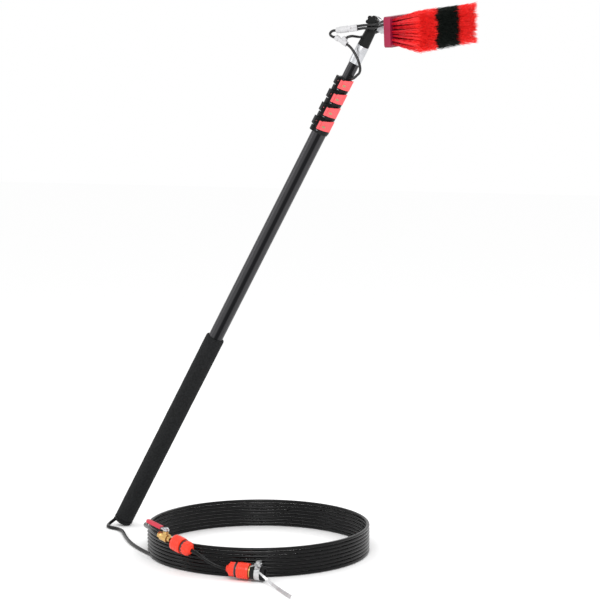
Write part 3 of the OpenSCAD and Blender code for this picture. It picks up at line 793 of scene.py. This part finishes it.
def one_filament(seed):
    """A crimped filament along +X, three-sided, drawn out to a point."""
    chance = random.Random(seed)
    clear()
    bpy.ops.mesh.primitive_circle_add(vertices=3, radius=FILAMENT_R, fill_type="NGON",
                                      rotation=(0, math.radians(90), 0))
    piece = bpy.context.object
    bpy.ops.object.transform_apply(rotation=True)
    bpy.ops.object.mode_set(mode="EDIT")
    bpy.ops.mesh.select_all(action="SELECT")
    phase = chance.uniform(0, 2 * math.pi)
    crimp = CRIMP / 2
    for _ in range(CRIMP_SPANS):
        bpy.ops.mesh.extrude_region_move(TRANSFORM_OT_translate={"value": (
            BRISTLE_LEN / CRIMP_SPANS, crimp * math.cos(phase), crimp * math.sin(phase))})
        crimp = -math.copysign(CRIMP, crimp)
    bpy.ops.mesh.merge(type="CENTER")
    bpy.ops.object.mode_set(mode="OBJECT")
    return piece


def one_tuft(seed):
    """Filaments held tight at the root that open towards the tip."""
    chance = random.Random(seed)
    kinds = [one_filament(seed * 10 + k) for k in range(5)]
    pieces = []
    for n in range(TUFT_FILAMENTS):
        piece = copy_of(kinds[n % 5], "filament")
        angle = chance.uniform(0, 2 * math.pi)
        spot = math.sqrt(chance.random())
        root = Vector((0, math.cos(angle), math.sin(angle))) * TUFT_R * spot
        shear = Matrix.Identity(4)
        shear[1][0] = TUFT_OPENING * spot * math.cos(angle) + chance.gauss(0, 0.014)
        shear[2][0] = TUFT_OPENING * spot * math.sin(angle) + chance.gauss(0, 0.014)
        shear[0][0] = chance.uniform(0.93, 1.0)
        piece.data.transform(Matrix.Translation(root) @ shear
                             @ Matrix.Rotation(chance.uniform(0, 6.28), 4, "X"))
        pieces.append(piece)
    for kind in kinds:
        bpy.data.objects.remove(kind)
    return join(pieces, f"tuft_{seed}")


TUFTS = [one_tuft(seed) for seed in range(1, 6)]


def splay_y(y):
    """How far a tuft's tip moves along the block."""
    if y < -BRISTLE_SPLIT:
        low, high, a, b = -BRISTLE_END, -BRISTLE_SPLIT, -SPLAY, SPLAY / 4
    elif y > BRISTLE_SPLIT:
        low, high, a, b = BRISTLE_SPLIT, BRISTLE_END, -SPLAY / 4, SPLAY
    else:
        low, high, a, b = -BRISTLE_SPLIT, BRISTLE_SPLIT, SPLAY / 4, -SPLAY / 4
    return a + (b - a) * (y - low) / (high - low)


def bristle_group(name, node, low, high, columns, seed):
    """Rows of tufts between two places along the block."""
    chance = random.Random(seed)
    pieces = []
    margin = 0.0035
    for row in range(TUFT_ROWS):
        z = BRISTLE_TOP * 0.93 * (2 * row / (TUFT_ROWS - 1) - 1)
        for column in range(columns):
            share = (column + (0.25 if row % 2 else 0.75)) / columns
            y = low + margin + (high - low - 2 * margin) * share
            piece = copy_of(TUFTS[chance.randrange(len(TUFTS))], "tuft")
            shear = Matrix.Identity(4)
            shear[1][0] = splay_y(y) * 0.86 / BRISTLE_LEN + chance.gauss(0, 0.012)
            shear[2][0] = SPLAY * 0.95 * z / BRISTLE_TOP / BRISTLE_LEN + chance.gauss(0, 0.010)
            shear[0][0] = chance.uniform(0.97, 1.0)
            piece.data.transform(Matrix.Translation((BLOCK_T - 0.0006, y, z)) @ shear
                                 @ Matrix.Rotation(chance.uniform(0, 6.28), 4, "X"))
            pieces.append(piece)
    group = join(pieces, name)
    settle(group, BRUSH)
    smooth(group, 60)
    stand_for(group, node)


bristle_group("filaments_near", "bristles_near", -BRISTLE_END, -BRISTLE_SPLIT, 9, 11)
bristle_group("filaments_middle", "bristles_middle", -BRISTLE_SPLIT, BRISTLE_SPLIT, 12, 12)
bristle_group("filaments_far", "bristles_far", BRISTLE_SPLIT, BRISTLE_END, 9, 13)
for tuft in TUFTS:
    bpy.data.objects.remove(tuft)

# ---------- valve, connectors and tap adapter ----------

valve = eased("valve_body", 0.0006)
valve_lever = eased("valve_lever", 0.0005)
spindle = eased("valve_spindle", 0.0004)
sleeve = eased("lever_sleeve", 0.0014, segments=3)
upper = [eased(node, width) for node, width in (
    ("upper_core", 0.0006), ("upper_collar", 0.0008), ("upper_nut", 0.0007))]
lower = [eased(node, width) for node, width in (
    ("lower_nut", 0.0007), ("lower_core", 0.0006), ("lower_collar", 0.0008),
    ("tap_nipple", 0.0006), ("tap_socket", 0.0009), ("wing_screw", 0.0004))]

# ---------- stage ----------

clear()
bpy.ops.mesh.primitive_plane_add(size=30, location=(0, 0, -0.0005))
floor = bpy.context.object
floor.name = "floor"
white = Finish("studio_floor", (0.985, 0.985, 0.985), 0.9)
white.set("Specular IOR Level", 0.0)
floor.data.materials.append(white.material)

world = bpy.context.scene.world or bpy.data.worlds.new("studio")
bpy.context.scene.world = world
world.use_nodes = True
background = world.node_tree.nodes["Background"]
background.inputs["Color"].default_value = (1, 1, 1, 1)
background.inputs["Strength"].default_value = 1.0


def softbox(name, location, target, size, energy):
    light = bpy.data.objects.new(name, bpy.data.lights.new(name, "AREA"))
    bpy.context.scene.collection.objects.link(light)
    light.data.shape = "RECTANGLE"
    light.data.size, light.data.size_y = size
    light.data.energy = energy
    light.location = location
    aim = Vector(target) - Vector(location)
    light.rotation_euler = aim.to_track_quat("-Z", "Y").to_euler()


softbox("key_light", (1.5, -2.5, 2.2), (0.4, -0.2, 0.3), (1.5, 0.8), 44)
softbox("side_light", (-2.4, -1.4, 1.6), (0.3, 0, 0.6), (0.6, 1.6), 12)
softbox("back_light", (0.6, 2.6, 2.4), (0.4, 0, 0.8), (1.2, 0.8), 14)

bpy.context.scene.view_settings.view_transform = "Standard"
